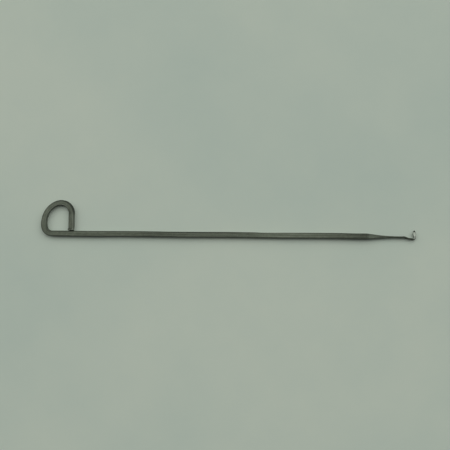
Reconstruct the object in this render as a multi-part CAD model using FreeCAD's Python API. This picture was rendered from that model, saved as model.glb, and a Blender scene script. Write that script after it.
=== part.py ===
import FreeCAD, Part
import math
import os

# Drawing-in hook for a loom: one length of square steel wire, bent into a hanging
# eye at one end and ground down to a small hook at the other. It lies flat.
# Millimetres. +X runs from the eye to the hook, +Y is the side to which the eye and
# the hook turn, +Z is up, and the origin is the bottom centre of the tool's box.
#
# The wire is followed as it is formed. Each section starts where the one before it
# ends, so the five sections meet face to face. Until the last step, the wire's
# mid-plane is Z = 0 and the shank starts at X = 0 on the X axis.

# ---- driving dimensions, mm and degrees ----

WIRE = 2.54                # side of the square wire
WIRE_EDGE = 0.15           # rounding along its four long edges

# The eye is a D: three tangent arcs turn the wire back towards the shank.
CORNER_RADIUS = 3.3
CORNER_TURN = 75.0
BACK_RADIUS = 10.2
BACK_TURN = 81.5
CROWN_RADIUS = 5.1
EYE_TURN = 271.0           # the whole turn, which leaves the leg all but square to the shank
EYE_GAP = 0.45             # from the leg's cut end to the shank

SHANK_LENGTH = 152.5

# The four-sided taper brings the square wire down to the neck.
TAPER_LENGTH = 10.9
NECK_WIDTH = 1.1
NECK_EDGE = 0.48           # leaves the neck almost round
NECK_OFFSET = 0.5          # the neck's axis lies this far to the -Y side of the shank's
NECK_LENGTH = 6.6

# The hook drops at a knee, then turns up tightly into a flattened limb.
KNEE_RADIUS = 2.0
KNEE_TURN = 15.0
KNEE_RUN = 1.6
SADDLE_RADIUS = 5.0
SADDLE_TURN = 6.0          # eases the drop before the tight bend
SADDLE_RUN = 1.9
THROAT_RADIUS = 0.7
LIMB_HEADING = 90.0        # the limb stands square to the shank
LIMB_LENGTH = 3.55
# Along the limb: share of its length, width, thickness, edge rounding. Its outer side
# is straight, so what the width gains or loses is on the throat's side.
LIMB_SECTIONS = (
    (0.0, NECK_WIDTH, NECK_WIDTH, NECK_EDGE),
    (0.2, 1.26, 1.0, 0.44),
    (0.45, 1.5, 0.92, 0.4),
    (0.7, 1.42, 0.86, 0.38),
    (0.88, 1.1, 0.72, 0.32),
    (1.0, 0.6, 0.4, 0.17),
)

UP = FreeCAD.Vector(0, 0, 1)
SQUARE = (WIRE, WIRE, WIRE_EDGE)
ROUND = (NECK_WIDTH, NECK_WIDTH, NECK_EDGE)


def direction(heading):
    """The unit vector at this heading, in degrees anticlockwise from +X."""
    angle = math.radians(heading)
    return FreeCAD.Vector(math.cos(angle), math.sin(angle), 0)


def section(centre, heading, width, thickness, edge):
    """The wire's outline across its heading: a rectangle, thickness along Z, with rounded corners."""
    across = direction(heading + 90)

    def corner(quarter):
        """The arc round one corner, counted from the one at (+across, +Z)."""
        sign_across = 1 if quarter in (0, 3) else -1
        sign_up = 1 if quarter in (0, 1) else -1
        middle = across * (sign_across * (width / 2 - edge)) + UP * (sign_up * (thickness / 2 - edge))
        points = []
        for eighth in range(3):
            angle = math.radians(90 * quarter + 45 * eighth)
            points.append(centre + middle + across * (edge * math.cos(angle)) + UP * (edge * math.sin(angle)))
        return Part.Arc(*points).toShape()

    arcs = [corner(quarter) for quarter in range(4)]
    edges = []
    for arc, following in zip(arcs, arcs[1:] + arcs[:1]):
        edges += [arc, Part.makeLine(arc.lastVertex().Point, following.firstVertex().Point)]
    return Part.Wire(edges)


def straight(start, heading, length, size):
    """A straight run of wire. Returns its solid and where it ends."""
    run = direction(heading) * length
    return Part.Face(section(start, heading, *size)).extrude(run), start + run


def bend(start, heading, radius, turn, size):
    """A bend, anticlockwise if turn is positive. Returns its solid, where it ends and the heading there."""
    side = 90 if turn > 0 else -90
    centre = start + direction(heading + side) * radius
    solid = Part.Face(section(start, heading, *size)).revolve(centre, UP, turn)
    return solid, centre - direction(heading + turn + side) * radius, heading + turn


def joined(solids):
    """Makes one solid of runs and bends that share their end faces."""
    return solids[0].fuse(solids[1:]).Solids[0]


def eye_loop(start):
    """From the shank, round the D clockwise, and down the leg to its cut end."""
    corner, point, heading = bend(start, 180, CORNER_RADIUS, -CORNER_TURN, SQUARE)
    back, point, heading = bend(point, heading, BACK_RADIUS, -BACK_TURN, SQUARE)
    crown_turn = EYE_TURN - CORNER_TURN - BACK_TURN
    crown, point, heading = bend(point, heading, CROWN_RADIUS, -crown_turn, SQUARE)
    leg_length = (point.y - WIRE / 2 - EYE_GAP) / -direction(heading).y
    leg, _ = straight(point, heading, leg_length, SQUARE)
    return joined([corner, back, crown, leg])


def shoulder_taper(start):
    """The taper from the square wire to the neck. Returns its solid and where it ends."""
    end = start + FreeCAD.Vector(TAPER_LENGTH, -NECK_OFFSET, 0)
    outlines = [section(start, 0, *SQUARE), section(end, 0, *ROUND)]
    return Part.makeLoft(outlines, True, True), end


def hook_tip(start):
    """The knee, the dropped run, the tight bend and the upturned limb."""
    knee, point, heading = bend(start, 0, KNEE_RADIUS, -KNEE_TURN, ROUND)
    drop, point = straight(point, heading, KNEE_RUN, ROUND)
    saddle, point, heading = bend(point, heading, SADDLE_RADIUS, SADDLE_TURN, ROUND)
    run_in, point = straight(point, heading, SADDLE_RUN, ROUND)
    throat_turn = LIMB_HEADING - heading
    throat, point, heading = bend(point, heading, THROAT_RADIUS, throat_turn, ROUND)
    outlines = []
    for share, width, thickness, edge in LIMB_SECTIONS:
        along = direction(heading) * (share * LIMB_LENGTH)
        inward = direction(heading + 90) * ((width - NECK_WIDTH) / 2)
        outlines.append(section(point + along + inward, heading, width, thickness, edge))
    limb = Part.makeLoft(outlines, True, False)
    return joined([knee, drop, saddle, run_in, throat, limb])


origin = FreeCAD.Vector(0, 0, 0)
sections = {"eye_loop": eye_loop(origin)}
sections["shank"], shank_end = straight(origin, 0, SHANK_LENGTH, SQUARE)
sections["shoulder_taper"], taper_end = shoulder_taper(shank_end)
sections["neck"], neck_end = straight(taper_end, 0, NECK_LENGTH, ROUND)
sections["hook_tip"] = hook_tip(neck_end)

# The tool's frame: the origin moves to the bottom centre of the box round all five.
box = Part.makeCompound(list(sections.values())).optimalBoundingBox(False, False)
to_frame = FreeCAD.Vector(-box.Center.x, -box.Center.y, -box.ZMin)

os.makedirs("parts", exist_ok=True)
for name, solid in sections.items():
    solid.translate(to_frame)
    solid.exportStep(f"parts/{name}.step")
    print(name, "valid" if solid.isValid() else "NOT VALID", round(solid.Volume, 3), "mm3", solid.BoundBox)
print("box", round(box.XLength, 2), round(box.YLength, 2), round(box.ZLength, 2), "shift", to_frame)
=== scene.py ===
import math

import bpy
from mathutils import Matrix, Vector, noise


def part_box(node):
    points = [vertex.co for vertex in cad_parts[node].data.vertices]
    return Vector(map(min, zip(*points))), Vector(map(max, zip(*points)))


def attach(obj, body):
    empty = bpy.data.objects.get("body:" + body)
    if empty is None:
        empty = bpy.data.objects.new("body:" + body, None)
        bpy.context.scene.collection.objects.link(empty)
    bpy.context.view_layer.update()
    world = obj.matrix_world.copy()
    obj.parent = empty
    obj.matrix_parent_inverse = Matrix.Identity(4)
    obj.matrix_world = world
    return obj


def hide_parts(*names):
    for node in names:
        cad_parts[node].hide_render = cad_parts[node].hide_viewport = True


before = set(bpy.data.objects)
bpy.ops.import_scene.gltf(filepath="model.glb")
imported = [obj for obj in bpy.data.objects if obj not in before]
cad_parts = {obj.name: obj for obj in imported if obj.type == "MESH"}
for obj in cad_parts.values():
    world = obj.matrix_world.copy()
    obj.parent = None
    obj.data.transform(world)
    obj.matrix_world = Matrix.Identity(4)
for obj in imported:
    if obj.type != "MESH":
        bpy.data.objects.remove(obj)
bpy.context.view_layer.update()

# A drawing-in hook, made of one length of square steel wire. The wire is followed from
# the leg of the eye to the hook, and each CAD node is replaced by a detailed mesh of
# the same stretch. Lengths are in millimetres until the vertices are made.
# Two sets of coordinates are used: the frame's own, and the straightened wire's:
# run along the wire (0 where the shank starts, the eye below 0), across it (positive
# towards the inside of the eye and of the hook), and up.

MM = 0.001


# ---- sizes and places from the frame ----

def corners(node):
    """A node's lowest and highest corners, in millimetres."""
    low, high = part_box(node)
    return Vector(low) / MM, Vector(high) / MM


shank_low, shank_high = corners("shank")
taper_low, taper_high = corners("shoulder_taper")
neck_low, neck_high = corners("neck")

WIRE = shank_high.z - shank_low.z
MID_HEIGHT = (shank_high.z + shank_low.z) / 2
SHANK_START = Vector((shank_low.x, (shank_low.y + shank_high.y) / 2))
SHANK_RUN = shank_high.x - shank_low.x
TAPER_RUN = taper_high.x - taper_low.x
NECK_RUN = neck_high.x - neck_low.x
NECK_WIDTH = neck_high.y - neck_low.y
NECK_AXIS = (neck_low.y + neck_high.y) / 2
NECK_DROP = SHANK_START.y - NECK_AXIS

TAPER_START = SHANK_RUN
NECK_START = TAPER_START + TAPER_RUN
HOOK_START = NECK_START + NECK_RUN

# ---- the bends, as they are formed ----

WIRE_EDGE = 0.15
CORNER_RADIUS, CORNER_TURN = 3.3, 75.0
BACK_RADIUS, BACK_TURN = 10.2, 81.5
CROWN_RADIUS, EYE_TURN = 5.1, 271.0
EYE_GAP = 0.45

NECK_EDGE = 0.48
KNEE_RADIUS, KNEE_TURN, KNEE_RUN = 2.0, 15.0, 1.6
SADDLE_RADIUS, SADDLE_TURN, SADDLE_RUN = 5.0, 6.0, 1.9
THROAT_RADIUS = 0.7
LIMB_HEADING, LIMB_LENGTH = 90.0, 3.55

# ---- what use and making have left, and the painted light and shade, which the CAD leaves out ----

UNEVENNESS = 0.012                     # of the drawn wire's width
RELIEF = 0.014                         # height of the draw lines and dents
HOOK_RELIEF, LIMB_RELIEF = 0.012, 0.006
UPSETTING = 0.03                       # how much bending thickens the inside and thins the outside

WAVE_DEPTH, WAVE_LENGTH, WAVE_CREST = 0.055, 47.0, 39.0    # left in the shank by the straightening
WAVE_FREE = 12.0                       # the shank's ends are held straight for this far
NICK_START, NICK_END, NICK_DEPTH = 97.5, 113.0, 0.08       # worn out of the shank's inner edge
SHOULDER_SPREAD, SHOULDER_WEAR = 0.24, 0.07    # the shank's last stretch is wider outside, worn inside

# The leg of the eye was cut with nippers, which left a crease across it and a wedge-shaped end.
CREASE_PLACE, CREASE_DEPTH, CREASE_WIDTH = 0.78, 0.13, 0.11
CREASE_PAINTED_SHADE = 0.9                      # the crease is painted nearly black, as shade
END_GAIN, END_LEAN = 0.14, 0.26        # the end's own reach, and how much further its foot reaches
BURR = 0.25                            # pushed out on the inner side, past the crease
END_BEVEL = 0.04                       # of the cut end's upper and lower edges

# The eye's stretches are told by how much wire is left to the cut end: the leg, then the crown.
LEG_WEAR = 0.07                        # the leg is slimmer on its inner side
BACK_WEAR = 0.19                       # off the outer side of the eye's back
EYE_DRAWN = 0.05                       # stretching round the back and crown has drawn the wire down
LEG_PAINTED_REFLECTION, NIPPED_PAINTED_HIGHLIGHT = 0.22, 0.5  # the leg's outer side is lightened by a painted reflection, the nipped end by a painted highlight
CROWN_PAINTED_SHADE, CROWN_EDGE_PAINTED_SHADE = 0.65, 0.8    # and the crown's outer side is painted dark as shade
EYE_PAINTED_HIGHLIGHT, EYE_INNER_PAINTED_SHADE = 0.4, 0.4       # a painted highlight inside the eye, down to an edge painted dark as shade
SHANK_INNER_PAINTED_SHADE = 0.45                     # painted shade along the shank's inner side

HOOK_WIRE, THROAT_WEAR = 1.0, 0.1      # the hook has worn thinner than the neck, most on its inner side
NECK_DIP = 0.07                        # on the neck's inner side
HOLLOW, HOLLOW_INNER, SWELL_OUTER = 0.07, 0.17, 0.04    # the taper's facets; the inner is ground most
TAPER_SOIL, SHOULDER_SOIL = 0.35, 0.5    # on the taper's inner side, and across its start
BEND_SWELL, BEND_OUTER_PAINTED_SHADE = 0.12, 0.9      # the tight bend is full, and painted dark as shade on its outer side
BEND_INNER_PAINTED_SHADE = 0.3                  # and painted less dark as shade on its inner side
CROOK_PAINTED_SHADE = 0.75                      # painted shade on the limb's inner side, where it leaves the bend
LIMB_INNER, LIMB_OUTER = 0.3, 0.2      # how the limb is spread
LIMB_THINNING, LIMB_EDGE = 0.21, 0.2   # and flattened
POINT_INNER, POINT_OUTER = 0.46, 0.48  # and how its sides come in to the tip
TIP_PAINTED_DARK = 0.7                         # length of the limb's end that carries a painted dark reflection
TIP_DOME = 0.42                        # length of its rounded tip

RIM, RIM_TONE = 0.25, 0.7              # how far in from its edges the wire is painted dark as shade, and how much
ROUND_RIM = 0.6                        # by how much less where the wire is round

# Points on each flat, as shares of its width: close ones at its ends keep the rounded edges crisp.
SIDE_SHARES = (0.015, 0.07, 0.14, 0.32, 0.5, 0.68, 0.86, 0.93, 0.985)
CORNER_POINTS = 6                      # segments round each edge

# Spacing of the rings of vertices.
EYE_STEP, CUT_END_STEP, CUT_END_RUN = 0.22, 0.05, 1.6
SHANK_STEP, GROUND_STEP, HOOK_STEP, THROAT_STEP = 0.35, 0.12, 0.08, 0.05
LIMB_RINGS = 56
BEND_SOFTENING = 0.8                   # the length over which the eye's changes of curvature are spread


def direction(heading):
    angle = math.radians(heading)
    return Vector((math.cos(angle), math.sin(angle)))


def ease(value, start, end):
    """0 before start, 1 after end, smooth between."""
    share = min(max((value - start) / (end - start), 0.0), 1.0)
    return share * share * (3 - 2 * share)


def mixed(a, b, share):
    return a + (b - a) * share


def arc(radius, turn):
    """A bend as trace() takes it: its length and its turn, to the left if positive."""
    return radius * math.radians(abs(turn)), turn


def trace(start, heading, moves, step, last_step):
    """Points along bends and straight runs, as (distance, place, heading, curvature to the left).

    They are about step apart, and last_step in the last move."""
    found, place, distance = [(0.0, start.copy(), heading, 0.0)], start.copy(), 0.0
    for number, (length, turn) in enumerate(moves, 1):
        count = max(2, round(length / (last_step if number == len(moves) else step)))
        curvature = math.radians(turn) / length
        for i in range(1, count + 1):
            share = i / count
            now = heading + turn * share
            if turn:
                centre = place + direction(heading + 90) / curvature
                spot = centre - direction(now + 90) / curvature
            else:
                spot = place + direction(heading) * (length * share)
            found.append((distance + length * share, spot, now, curvature))
        place, heading, distance = found[-1][1].copy(), found[-1][2], found[-1][0]
    return found


def softened(stations, reach):
    """The same stations, their curvature averaged over this much wire, so that it has no steps."""
    soft = []
    for distance, place, heading, _ in stations:
        near = [c for d, _, _, c in stations if abs(d - distance) <= reach]
        soft.append((distance, place, heading, sum(near) / len(near)))
    return soft


# ---- cross-sections ----

class Size:
    """The wire's outline at one place: distances from its axis, the edges' radius, and its soil, painted
    light and painted shade.

    Soil is 0 on clean wire, 1 on black, and under 0 where a painted highlight brightens the metal; most
    of its darkening is painted shade. It is the same all round, apart from what is added towards the
    inner side and towards the outer, and from the painted shade along those two sides. Lean is how far the
    bottom is ahead of the top."""

    def __init__(self, inner, outer, top, bottom, edge, soil=0.0):
        self.inner, self.outer, self.top, self.bottom = inner, outer, top, bottom
        self.edge, self.soil, self.inner_soil, self.outer_soil = edge, soil, 0.0, 0.0
        self.inner_grime, self.outer_grime, self.lean = 0.0, 0.0, 0.0

    def soil_at(self, across):
        if across > 0:
            share, added, grime = across / self.inner, self.inner_soil, self.inner_grime
        else:
            share, added, grime = -across / self.outer, self.outer_soil, self.outer_grime
        face = self.soil + added * ease(share, 0.2, 0.8)
        # Painted shade darkens each side towards its edge.
        return mixed(face, grime, min(grime, 1.0) * ease(share, 0.72, 0.88))

    def outline(self):
        """Points as (across, up, nearness to a long edge), from the inner side anticlockwise."""
        edge = min(self.edge, 0.45 * (self.inner + self.outer), 0.45 * (self.top + self.bottom))
        rim_tone = RIM_TONE * (1 - ROUND_RIM * ease(self.edge, WIRE_EDGE, NECK_EDGE))
        right, left, high, low = self.inner, -self.outer, self.top, -self.bottom
        turns = ((right, high, 1, 1), (left, high, -1, 1), (left, low, -1, -1), (right, low, 1, -1))
        spots = []
        for quarter, (across, up, sign_across, sign_up) in enumerate(turns):
            middle_across, middle_up = across - sign_across * edge, up - sign_up * edge
            for i in range(CORNER_POINTS + 1):
                angle = math.radians(90 * (quarter + i / CORNER_POINTS))
                nearness = rim_tone * (1 + 0.2 * math.sin(math.pi * i / CORNER_POINTS))
                round_across, round_up = edge * math.cos(angle), edge * math.sin(angle)
                spots.append((middle_across + round_across, middle_up + round_up, nearness))
            last_across, last_up, _ = spots[-1]
            next_across, next_up, next_sign_across, next_sign_up = turns[(quarter + 1) % 4]
            if quarter % 2:
                goal_across, goal_up = next_across, next_up - next_sign_up * edge
            else:
                goal_across, goal_up = next_across - next_sign_across * edge, next_up
            side = math.hypot(goal_across - last_across, goal_up - last_up)
            for share in SIDE_SHARES:
                nearness = rim_tone * max(1 - side * min(share, 1 - share) / RIM, 0.0)
                across, up = mixed(last_across, goal_across, share), mixed(last_up, goal_up, share)
                spots.append((across, up, nearness))
        return spots


def wander(run, rate, seed):
    """A smooth unevenness, mostly between -1 and 1, along the wire."""
    return noise.noise(Vector((run * rate, seed, 0.5))) * 1.6


def shoulder(run):
    """The extra width on the outer side, growing towards the shoulder and gone soon after it."""
    slow = 0.4 * ease(run, 85, 130)
    fast = 0.6 * ease(run, TAPER_START - 14, TAPER_START - 4)
    return SHOULDER_SPREAD * (slow + fast) * (1 - ease(run, TAPER_START, TAPER_START + 5))


def square_size(run):
    """The drawn wire, in the shank and in the eye."""
    half = WIRE / 2
    uneven = UNEVENNESS * wander(run, 0.12, 3.0)
    worn = ease(run, NICK_START, NICK_START + 5) * (1 - ease(run, NICK_END - 6, NICK_END))
    nick = NICK_DEPTH * worn * (1 + 0.3 * wander(run, 0.9, 6.0))
    drawn = EYE_DRAWN * ease(-run, 6, 10)
    edge = WIRE_EDGE + 0.12 * worn + 0.03 * wander(run, 0.3, 9.0)
    nick += SHOULDER_WEAR * ease(run, TAPER_START - 16, TAPER_START - 4)
    side = half + uneven - drawn
    return Size(side - nick, side + shoulder(run), half, half, edge)


def taper_size(run):
    """The ground taper: each of its four facets is a little hollow."""
    share = (run - TAPER_START) / TAPER_RUN
    half = mixed(WIRE / 2, NECK_WIDTH / 2, share)
    bow = math.sin(math.pi * share)
    high = half - HOLLOW * bow
    inner = half - HOLLOW_INNER * bow - SHOULDER_WEAR * (1 - ease(share, 0.0, 0.4))
    edge = mixed(WIRE_EDGE, NECK_EDGE, ease(share, 0.0, 1.0))
    start = 1 - ease(share, 0.0, 0.06)
    size = Size(inner, half + SWELL_OUTER * bow + shoulder(run), high, high, edge, SHOULDER_SOIL * start)
    size.inner_soil = TAPER_SOIL * bow
    return size


def neck_size(run):
    """The neck and, past its end, the hook's wire as far as the limb."""
    half = NECK_WIDTH / 2
    dip = ease(run, NECK_START + 1.2, NECK_START + 2.6) * (1 - ease(run, HOOK_START - 0.6, HOOK_START + 0.2))
    worn = ease(run, HOOK_START + 0.6, HOOK_START + 2.2)
    half = mixed(half, HOOK_WIRE / 2, worn)
    return Size(half - NECK_DIP * dip - THROAT_WEAR * worn, half, half, half, NECK_EDGE)


def limb_size(share):
    """The flattened limb, share 0 at the tight bend and 1 at the tip. It thins evenly towards the tip."""
    half = HOOK_WIRE / 2
    spread = ease(share, 0.02, 0.4)
    point = ease(share, 0.62, 1.0)
    inner = half + mixed(-THROAT_WEAR, LIMB_INNER, spread) - POINT_INNER * point
    outer = half + mixed(BEND_SWELL, LIMB_OUTER, spread) - POINT_OUTER * point
    thick = half - LIMB_THINNING * share
    # Painted dark reflection on the limb's end.
    end = ease(share * LIMB_LENGTH, LIMB_LENGTH - TIP_PAINTED_DARK - 0.35, LIMB_LENGTH - TIP_PAINTED_DARK + 0.15)
    size = Size(inner, outer, thick, thick, mixed(NECK_EDGE, LIMB_EDGE, spread), end)
    # Painted shade in the throat, and on the bend's outer side where the limb leaves it.
    size.inner_soil = CROOK_PAINTED_SHADE * ease(share, -0.05, 0.04) * (1 - ease(share, 0.06, 0.2))
    size.outer_soil = size.outer_grime = BEND_OUTER_PAINTED_SHADE * (1 - ease(share, 0.0, 0.12))
    return size


# ---- meshes ----

def relief(run, across, up, depth):
    """How far the surface stands out: long draw lines and soft dents from handling."""
    lines = noise.noise(Vector((run * 0.03, across * 2.2, up * 2.2)))
    dents = noise.noise(Vector((run * 0.3, across * 0.8, up * 0.8 + 7.0)))
    return depth * (0.7 * lines + 0.7 * dents)


def ring(place, heading, run, size, curvature, depth):
    """One ring of vertices, each as (vertex, its place on the straightened wire, edge nearness, soil)."""
    left = direction(heading + 90)
    made = []
    for across, up, nearness in size.outline():
        # Bending upsets the wire: it grows thicker inside the bend and thinner outside it.
        thicker = 1 + UPSETTING * across * curvature * WIRE if up > 0 else 1
        proud = 1 + relief(run, across, up, depth) / max(math.hypot(across, up), 0.2)
        ahead = size.lean * (size.top - up) / (size.top + size.bottom)
        spot = place + left * (across * proud) + direction(heading) * ahead
        height = MID_HEIGHT + max(up * thicker * proud, -MID_HEIGHT)
        vertex = Vector((spot.x, spot.y, height)) * MM
        made.append((vertex, (run, across, up), nearness, size.soil_at(across)))
    return made


def tube(name, rings, round_end=False):
    """One closed mesh through rings of vertices, with a cap at each end, in place of a CAD node."""
    count = len(rings[0])
    vertices, straight, edges, soil = [], [], [], []
    for spots in rings:
        for spot, wire, nearness, soiled in spots:
            vertices.append(spot)
            straight.append(wire)
            edges.append(nearness)
            soil.append(soiled)
    faces = []
    for i in range(len(rings) - 1):
        for j in range(count):
            k = (j + 1) % count
            faces.append((i * count + j, i * count + k, (i + 1) * count + k, (i + 1) * count + j))
    rims = [set(range(count))]
    if not round_end:
        rims.append(set(range((len(rings) - 1) * count, len(rings) * count)))
    for first, order in ((0, -1), ((len(rings) - 1) * count, 1)):
        loop = list(range(first, first + count))[::order]
        hub = len(vertices)
        vertices.append(sum((vertices[v] for v in loop), Vector()) / count)
        straight.append(tuple(sum(straight[v][axis] for v in loop) / count for axis in range(3)))
        edges.append(0.0)
        soil.append(soil[first])
        faces += [(hub, loop[j], loop[(j + 1) % count]) for j in range(count)]
    mesh = bpy.data.meshes.new(name)
    mesh.from_pydata(vertices, [], faces)
    mesh.polygons.foreach_set("use_smooth", [True] * len(mesh.polygons))
    mesh.attributes.new("wire", "FLOAT_VECTOR", "POINT").data.foreach_set(
        "vector", [value for each in straight for value in each])
    mesh.attributes.new("edge", "FLOAT", "POINT").data.foreach_set("value", edges)
    mesh.attributes.new("soil", "FLOAT", "POINT").data.foreach_set("value", soil)
    # A hard rim round each flat end keeps the sides' shading running on into the next stretch.
    hard = [any(set(e.vertices) <= rim for rim in rims) for e in mesh.edges]
    mesh.attributes.new("sharp_edge", "BOOLEAN", "EDGE").data.foreach_set("value", hard)
    mesh.update()
    piece = bpy.data.objects.new(name + "_steel", mesh)
    bpy.context.scene.collection.objects.link(piece)
    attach(piece, "root")
    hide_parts(name)
    return piece


def eye_stations():
    """Points from the shank round the D to the leg's cut end, closest at the end."""
    crown_turn = EYE_TURN - CORNER_TURN - BACK_TURN
    bends = [arc(CORNER_RADIUS, -CORNER_TURN), arc(BACK_RADIUS, -BACK_TURN), arc(CROWN_RADIUS, -crown_turn)]
    _, top, heading, _ = trace(SHANK_START, 180.0, bends, 1.0, 1.0)[-1]
    leg = (top.y - SHANK_START.y - WIRE / 2 - EYE_GAP) / -direction(heading).y + END_GAIN
    moves = bends + [(leg - CUT_END_RUN, 0.0), (CUT_END_RUN, 0.0)]
    return softened(trace(SHANK_START, 180.0, moves, EYE_STEP, CUT_END_STEP), BEND_SOFTENING)


def eye_size(distance, left):
    """The wire in the eye, this far from the shank and with this much left to the cut end."""
    size = square_size(-distance)
    nipped = 1 - ease(left, CREASE_PLACE - 0.12, CREASE_PLACE + 0.08)
    crease = math.exp(-((left - CREASE_PLACE) / CREASE_WIDTH) ** 2)
    bevel = END_BEVEL * (1 - ease(left, 0.0, 0.08))
    size.inner += BURR * nipped - LEG_WEAR * (1 - ease(left, 8.0, 12.0))
    size.outer -= 0.1 * (1 - ease(left, 0.0, 0.5)) + BACK_WEAR * ease(distance, 6, 9) * ease(left, 14, 18)
    size.top -= CREASE_DEPTH * crease + bevel + 0.02 * nipped
    size.bottom -= bevel
    size.lean = -END_LEAN * (1 - ease(left, 0.0, 0.35))

    crown = ease(left, 7.0, 10.0) * (1 - ease(left, 17.0, 23.0))
    # Painted reflection along the leg's outer side, and a painted highlight near the nipped end.
    painted_sheen = LEG_PAINTED_REFLECTION * (1 - ease(left, 6.0, 9.0)) + NIPPED_PAINTED_HIGHLIGHT * (1 - ease(left, 0.8, 1.2))
    cut = 1 - ease(left, 0.05, 0.3)
    # Painted shade: the crease is painted nearly black, and so is the cut end's face over the gap.
    size.soil = CREASE_PAINTED_SHADE * crease + (1 - ease(left, 0.0, 0.06))
    # Painted shade on the crown's outer side and edge, less the painted light on the leg.
    size.outer_soil = CROWN_PAINTED_SHADE * crown - painted_sheen * ease(left, 0.05, 0.2)
    size.outer_grime = CROWN_EDGE_PAINTED_SHADE * crown
    # Painted highlight inside the eye, with painted shade along its inner edge and on the cut end's inner
    # side.
    size.inner_soil = -EYE_PAINTED_HIGHLIGHT * ease(left, 9.0, 12.0) * ease(distance, 2.0, 7.0)
    size.inner_grime = max(EYE_INNER_PAINTED_SHADE * ease(left, 8.0, 10.0), cut)
    return size


def make_eye():
    stations = eye_stations()
    total = stations[-1][0]
    rings = []
    for distance, place, heading, curvature in stations:
        size = eye_size(distance, total - distance)
        # The wire is walked backwards here, so its own heading is the opposite one.
        rings.append(ring(place, heading + 180, -distance, size, -curvature, RELIEF))
    rings.reverse()
    return tube("eye_loop", rings)


def make_shank():
    """The shank, slightly wavy, and painted black as shade where the leg's cut end stands over it."""
    count = round(SHANK_RUN / SHANK_STEP)
    black = eye_stations()[-1][1].x - SHANK_START.x - BURR / 2
    rings = []
    for i in range(count + 1):
        run = SHANK_RUN * i / count
        held = ease(run, 0, WAVE_FREE) * (1 - ease(run, SHANK_RUN - WAVE_FREE, SHANK_RUN))
        wave = WAVE_DEPTH * math.cos(2 * math.pi * (run - WAVE_CREST) / WAVE_LENGTH) * held
        size = square_size(run)
        # Painted shade along the inner side, black in the gap under the leg's cut end.
        size.inner_grime = max(1.0 - ease(abs(run - black), WIRE / 2, WIRE / 2 + 0.3), SHANK_INNER_PAINTED_SHADE)
        rings.append(ring(SHANK_START + Vector((run, wave)), 0.0, run, size, 0.0, RELIEF))
    return tube("shank", rings)


def make_taper():
    count = round(TAPER_RUN / GROUND_STEP)
    rings = []
    for i in range(count + 1):
        share = i / count
        run = TAPER_START + TAPER_RUN * share
        place = SHANK_START + Vector((run, -NECK_DROP * share))
        rings.append(ring(place, 0.0, run, taper_size(run) if i else square_size(run), 0.0, RELIEF))
    return tube("shoulder_taper", rings)


def make_neck():
    count = round(NECK_RUN / GROUND_STEP)
    rings = []
    for i in range(count + 1):
        run = NECK_START + NECK_RUN * i / count
        rings.append(ring(Vector((SHANK_START.x + run, NECK_AXIS)), 0.0, run, neck_size(run), 0.0, RELIEF))
    return tube("neck", rings)


def make_hook():
    """The knee, the dropped run, the tight bend, and the flattened limb with its rounded tip."""
    throat_turn = LIMB_HEADING + KNEE_TURN - SADDLE_TURN
    moves = [
        arc(KNEE_RADIUS, -KNEE_TURN),
        (KNEE_RUN, 0.0),
        arc(SADDLE_RADIUS, SADDLE_TURN),
        (SADDLE_RUN, 0.0),
        arc(THROAT_RADIUS, throat_turn),
    ]
    start = Vector((SHANK_START.x + HOOK_START, NECK_AXIS))
    stations = trace(start, 0.0, moves, HOOK_STEP, THROAT_STEP)
    rings = []
    for distance, place, heading, _ in stations:
        run = HOOK_START + distance
        size = neck_size(run)
        left = stations[-1][0] - distance
        # Painted shade on the tight bend: strong on its outer side, lighter on its inner side near the limb.
        size.inner_soil = BEND_INNER_PAINTED_SHADE * (1 - ease(left, 0.0, 0.3))
        size.outer_soil = size.outer_grime = BEND_OUTER_PAINTED_SHADE * (1 - ease(left, 0.4, 1.1))
        size.outer += BEND_SWELL * (1 - ease(left, 0.0, 0.8))
        rings.append(ring(place, heading, run, size, 0.0, HOOK_RELIEF))
    bend_end, place, heading, _ = stations[-1]
    for i in range(1, LIMB_RINGS + 1):
        along = LIMB_LENGTH * (1 - (1 - i / LIMB_RINGS) ** 1.3)
        size = limb_size(along / LIMB_LENGTH)
        left = LIMB_LENGTH - along
        if left < TIP_DOME:
            dome = math.sqrt(max(1 - (1 - left / TIP_DOME) ** 2, 0.0009))
            middle, half = (size.inner - size.outer) / 2, (size.inner + size.outer) / 2 * dome
            size.inner, size.outer = middle + half, half - middle
            size.top, size.bottom, size.edge = size.top * dome, size.bottom * dome, size.edge * dome
        run = HOOK_START + bend_end + along
        rings.append(ring(place + direction(heading) * along, heading, run, size, 0.0, LIMB_RELIEF))
    return tube("hook_tip", rings, round_end=True)


# ---- materials ----

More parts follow.
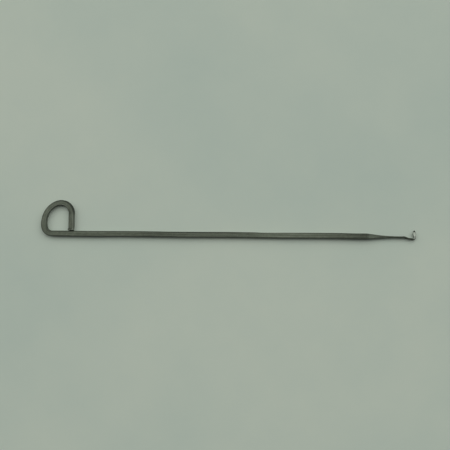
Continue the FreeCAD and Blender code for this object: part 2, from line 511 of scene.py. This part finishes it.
class Nodes:
    """A node tree that is written as calls: each returns the socket that it makes."""

    def __init__(self, name):
        self.material = bpy.data.materials.new(name)
        self.material.use_nodes = True
        self.tree = self.material.node_tree
        self.shader = self.tree.nodes["Principled BSDF"]

    def make(self, kind, inputs=None, output=0, **settings):
        node = self.tree.nodes.new("ShaderNode" + kind)
        for name, value in settings.items():
            setattr(node, name, value)
        for name, value in (inputs or {}).items():
            self.put(node.inputs[name], value)
        return node.outputs[output]

    def put(self, socket, value):
        if isinstance(value, bpy.types.NodeSocket):
            self.tree.links.new(value, socket)
        else:
            socket.default_value = value

    def attribute(self, name, output):
        return self.make("Attribute", output=output, attribute_name=name)

    def noise(self, vector, cells, detail=3.0, rough=0.55):
        """Noise with this many cells to the unit along each axis."""
        vector = self.make("Mapping", {"Vector": vector, "Scale": cells})
        return self.make("TexNoise", {"Vector": vector, "Scale": 1.0, "Detail": detail, "Roughness": rough})

    def ramp(self, value, stops):
        """A grey ramp; each stop is a place and a grey value."""
        node = self.tree.nodes.new("ShaderNodeValToRGB")
        elements = node.color_ramp.elements
        while len(elements) < len(stops):
            elements.new(0.5)
        for element, (place, grey) in zip(elements, stops):
            element.position = place
            element.color = (grey, grey, grey, 1.0)
        self.put(node.inputs["Fac"], value)
        return node.outputs["Color"]

    def scaled(self, value, low, high, to_low=0.0, to_high=1.0):
        return self.make("MapRange", {
            "Value": value, "From Min": low, "From Max": high, "To Min": to_low, "To Max": to_high})

    def maths(self, operation, a, b):
        node = self.tree.nodes.new("ShaderNodeMath")
        node.operation = operation
        self.put(node.inputs[0], a)
        self.put(node.inputs[1], b)
        return node.outputs[0]

    def blend(self, share, a, b, mode="MIX"):
        node = self.tree.nodes.new("ShaderNodeMix")
        node.data_type, node.blend_type = "RGBA", mode
        self.put(node.inputs["Factor"], share)
        self.put(node.inputs["A"], a)
        self.put(node.inputs["B"], b)
        return node.outputs["Result"]


# Tone of the steel along the run, from the nipped end to the hook: (run in mm, tone).
TONES = (
    (-37.0, 0.80),
    (-30.0, 0.76),
    (-26.0, 0.60),
    (-19.0, 0.60),
    (-12.0, 0.77),
    (14.0, 0.78),
    (33.0, 0.92),
    (47.0, 0.68),
    (66.0, 0.70),
    (86.0, 0.74),
    (96.0, 0.88),
    (104.0, 1.16),
    (116.0, 1.10),
    (126.0, 0.94),
    (138.0, 0.79),
    (143.0, 0.70),
    (152.2, 0.60),
    (152.8, 1.08),
    (158.0, 1.04),
    (163.0, 0.74),
    (170.0, 0.70),
    (174.0, 0.52),
)
RUN_LOW, RUN_HIGH = TONES[0][0], 180.0
FULL_TONE = 1.2                        # what the ramp's white stands for

DRAWN_BARE, DRAWN_FILM = (0.29, 0.31, 0.262, 1.0), (0.15, 0.165, 0.135, 1.0)
GROUND_BARE, GROUND_FILM = (0.27, 0.29, 0.25, 1.0), (0.135, 0.148, 0.125, 1.0)
EDGE_PAINTED_SHADE = (0.055, 0.06, 0.05, 1.0)
RUST = (0.16, 0.105, 0.07, 1.0)
SCRATCHED = (0.55, 0.54, 0.5, 1.0)
POLISHED = (0.53, 0.55, 0.52, 1.0)
PAINTED_SHEEN_COLOUR = (0.42, 0.44, 0.39, 1.0)
SOIL_AND_PAINTED_SHADE_COLOUR = (0.035, 0.038, 0.032, 1.0)
POLISH = (HOOK_START + 4.75, HOOK_START + 5.5)    # thread has polished the hook from here on


def steel(name, bare, film, film_share, roughness, specks, polish=None):
    """Steel with lengthwise draw lines, an uneven oxide film, edges painted dark as shade and a few specks of
    rust.

    bare and film are colours. polish is the runs where the metal starts and ends turning bright."""
    n = Nodes(name)
    wire = n.attribute("wire", "Vector")
    run = n.make("SeparateXYZ", {"Vector": wire}, output="X")
    edge = n.attribute("edge", "Fac")
    soil = n.attribute("soil", "Fac")

    # Cells to the millimetre along the wire, across it and up.
    fine_lines = n.noise(wire, (0.12, 11.0, 11.0), detail=4.0, rough=0.65)
    broad_lines = n.noise(wire, (0.022, 2.3, 2.3), detail=2.0, rough=0.4)
    mottle = n.noise(wire, (0.5, 0.9, 0.9), detail=5.0, rough=0.6)

    # How much oxide film covers the metal: more in mottled patches and in the draw lines.
    film_map = n.maths("ADD", n.maths("MULTIPLY", fine_lines, 0.55), n.maths("MULTIPLY", mottle, 0.6))
    film_map = n.maths("ADD", film_map, n.maths("MULTIPLY", broad_lines, 2.2))
    covered = n.scaled(film_map, 1.85 - film_share, 2.2 - film_share)
    colour = n.blend(covered, bare, film)
    # Painted shade: the colour darkens towards the wire's long edges.
    colour = n.blend(n.maths("MULTIPLY", edge, 0.9), colour, EDGE_PAINTED_SHADE)

    stops = [((place - RUN_LOW) / (RUN_HIGH - RUN_LOW), value / FULL_TONE) for place, value in TONES]
    colour = n.blend(1.0, colour, n.ramp(n.scaled(run, RUN_LOW, RUN_HIGH), stops), mode="MULTIPLY")
    colour = n.blend(1.0, colour, (FULL_TONE, FULL_TONE, FULL_TONE, 1.0), mode="MULTIPLY")

    # Specks of rust, and a few bright scratches where the wire was gripped.
    spots = n.noise(wire, (1.6, 2.4, 2.4), detail=2.0, rough=0.7)
    rust = n.maths("MULTIPLY", n.scaled(spots, 0.64, 0.7), specks)
    colour = n.blend(rust, colour, RUST)
    scratches = n.noise(wire, (5.5, 1.3, 1.3), detail=1.0)
    scratch = n.maths("MULTIPLY", n.scaled(scratches, 0.68, 0.73), 0.4)
    colour = n.blend(scratch, colour, SCRATCHED)

    lines_rough = n.scaled(fine_lines, 0.3, 0.7, roughness, roughness + 0.1)
    rough = n.maths("ADD", n.maths("MULTIPLY", covered, 0.16), lines_rough)
    if polish:
        bright = n.scaled(run, *polish)
        uneven = n.scaled(n.maths("ADD", bright, n.maths("MULTIPLY", mottle, 0.5)), 0.45, 0.85)
        bright = n.maths("MULTIPLY", n.maths("MULTIPLY", bright, uneven), n.scaled(soil, 0.0, 1.0, 1.0, 0.0))
        bright = n.maths("MULTIPLY", bright, n.scaled(edge, 0.3, 1.0, 1.0, 0.3))
        colour = n.blend(bright, colour, POLISHED)
        rough = n.maths("SUBTRACT", rough, n.maths("MULTIPLY", bright, 0.22))
    # Painted light: soil under 0 brightens towards a painted highlight; soil over 0 darkens with painted
    # shade, and on the taper and shoulder with soil.
    colour = n.blend(n.maths("MULTIPLY", soil, -1.0), colour, PAINTED_SHEEN_COLOUR)
    colour = n.blend(n.maths("MULTIPLY", soil, 0.9), colour, SOIL_AND_PAINTED_SHADE_COLOUR)
    rough = n.maths("ADD", rough, n.maths("MULTIPLY", soil, 0.2))
    n.put(n.shader.inputs["Base Color"], colour)
    n.put(n.shader.inputs["Roughness"], rough)
    n.shader.inputs["Metallic"].default_value = 1.0

    height = n.maths("ADD", n.maths("MULTIPLY", fine_lines, 0.7), n.maths("MULTIPLY", mottle, 0.5))
    height = n.maths("ADD", height, n.maths("MULTIPLY", broad_lines, 0.8))
    height = n.maths("SUBTRACT", height, n.maths("MULTIPLY", scratch, 0.4))
    bump = n.make("Bump", {"Height": height, "Strength": 0.5, "Distance": 0.02 * MM}, output="Normal")
    n.put(n.shader.inputs["Normal"], bump)
    return n.material


def plain_floor():
    """A pale, matt surface with broad soft clouds of tone and a fine grain."""
    n = Nodes("pale_floor")
    place = n.make("TexCoord", output="Object")
    clouds = n.noise(place, (7.0, 7.0, 7.0), detail=2.0)
    grain = n.noise(place, (60.0, 60.0, 60.0), detail=4.0)
    warm = n.blend(n.scaled(grain, 0.3, 0.7), (0.712, 0.756, 0.712, 1.0), (0.734, 0.772, 0.722, 1.0))
    cool = n.blend(n.scaled(grain, 0.3, 0.7), (0.648, 0.712, 0.682, 1.0), (0.668, 0.728, 0.692, 1.0))
    colour = n.blend(n.scaled(clouds, 0.36, 0.6), cool, warm)
    n.put(n.shader.inputs["Base Color"], colour)
    n.shader.inputs["Roughness"].default_value = 0.75
    n.shader.inputs["Specular IOR Level"].default_value = 0.2
    return n.material


# ---- camera, floor and light ----

CAMERA_HEIGHT = 285.0                  # millimetres
CAMERA_PLACE = (-1.72, -2.4)           # from the middle of the tool's box
CAMERA_ROLL = 0.52                     # degrees
LENS, SENSOR = 47.0, 36.0
NEAREST, FARTHEST = 0.01, 50.0         # metres

FLOOR_REACH = 3.0                      # metres each way, past everything that the camera sees
LIGHT_TINT = (0.93, 1.0, 0.9)
PANEL_LENGTH, PANEL_DISTANCE = 22.0, 6.0    # metres


def make_camera():
    """Looks straight down on the tool, from a little short of its middle, turned half a degree."""
    data = bpy.data.cameras.new("camera")
    data.lens, data.sensor_width = LENS, SENSOR
    data.clip_start, data.clip_end = NEAREST, FARTHEST
    camera = bpy.data.objects.new("camera", data)
    camera.location = (CAMERA_PLACE[0] * MM, CAMERA_PLACE[1] * MM, CAMERA_HEIGHT * MM)
    camera.rotation_euler = (0.0, 0.0, math.radians(CAMERA_ROLL))
    bpy.context.scene.collection.objects.link(camera)
    bpy.context.scene.camera = camera


def make_floor():
    mesh = bpy.data.meshes.new("floor")
    reach = FLOOR_REACH
    places = [(-reach, -reach, 0), (reach, -reach, 0), (reach, reach, 0), (-reach, reach, 0)]
    mesh.from_pydata(places, [], [(0, 1, 2, 3)])
    floor = bpy.data.objects.new("floor", mesh)
    floor.data.materials.append(plain_floor())
    bpy.context.scene.collection.objects.link(floor)


def strip_light(name, elevation, spread, radiance):
    """A long soft panel parallel to X, seen at this elevation over +Y, spread degrees high."""
    width = 2 * PANEL_DISTANCE * math.tan(math.radians(spread / 2))
    data = bpy.data.lights.new(name, "AREA")
    data.shape, data.size, data.size_y = "RECTANGLE", PANEL_LENGTH, width
    data.energy = radiance * math.pi * PANEL_LENGTH * width
    data.color = LIGHT_TINT
    light = bpy.data.objects.new(name, data)
    angle = math.radians(elevation)
    light.location = (0.0, PANEL_DISTANCE * math.cos(angle), PANEL_DISTANCE * math.sin(angle))
    light.rotation_euler = (-math.pi / 2 + angle, 0.0, 0.0)
    bpy.context.scene.collection.objects.link(light)


def make_world(radiance, backdrop):
    """A dim even dome, which the camera sees as a pale backdrop."""
    world = bpy.data.worlds.new("studio")
    world.use_nodes = True
    tree = world.node_tree
    shown = tree.nodes["Background"]
    shown.inputs["Color"].default_value = backdrop
    dome = tree.nodes.new("ShaderNodeBackground")
    dome.inputs["Color"].default_value = (*(radiance * tint for tint in LIGHT_TINT), 1.0)
    path = tree.nodes.new("ShaderNodeLightPath")
    mix = tree.nodes.new("ShaderNodeMixShader")
    tree.links.new(path.outputs["Is Camera Ray"], mix.inputs[0])
    tree.links.new(dome.outputs[0], mix.inputs[1])
    tree.links.new(shown.outputs[0], mix.inputs[2])
    tree.links.new(mix.outputs[0], tree.nodes["World Output"].inputs["Surface"])
    bpy.context.scene.world = world


bpy.context.scene.view_settings.view_transform = "Standard"
make_camera()
make_floor()
strip_light("top_panel", elevation=82.0, spread=12.0, radiance=0.65)
strip_light("key_panel", elevation=67.0, spread=19.0, radiance=1.55)
strip_light("side_panel", elevation=46.0, spread=23.0, radiance=1.2)
strip_light("low_panel", elevation=27.0, spread=14.0, radiance=0.6)
make_world(radiance=0.07, backdrop=(0.38, 0.43, 0.37, 1.0))

drawn = steel("drawn_steel", DRAWN_BARE, DRAWN_FILM, film_share=0.35, roughness=0.36, specks=0.6)
ground_look = {"bare": GROUND_BARE, "film": GROUND_FILM, "film_share": 0.3, "roughness": 0.32, "specks": 0.15}
ground = steel("ground_steel", **ground_look)
worn = steel("worn_steel", **ground_look, polish=POLISH)

for piece, material in (
    (make_eye(), drawn),
    (make_shank(), drawn),
    (make_taper(), ground),
    (make_neck(), ground),
    (make_hook(), worn),
):
    piece.data.materials.append(material)
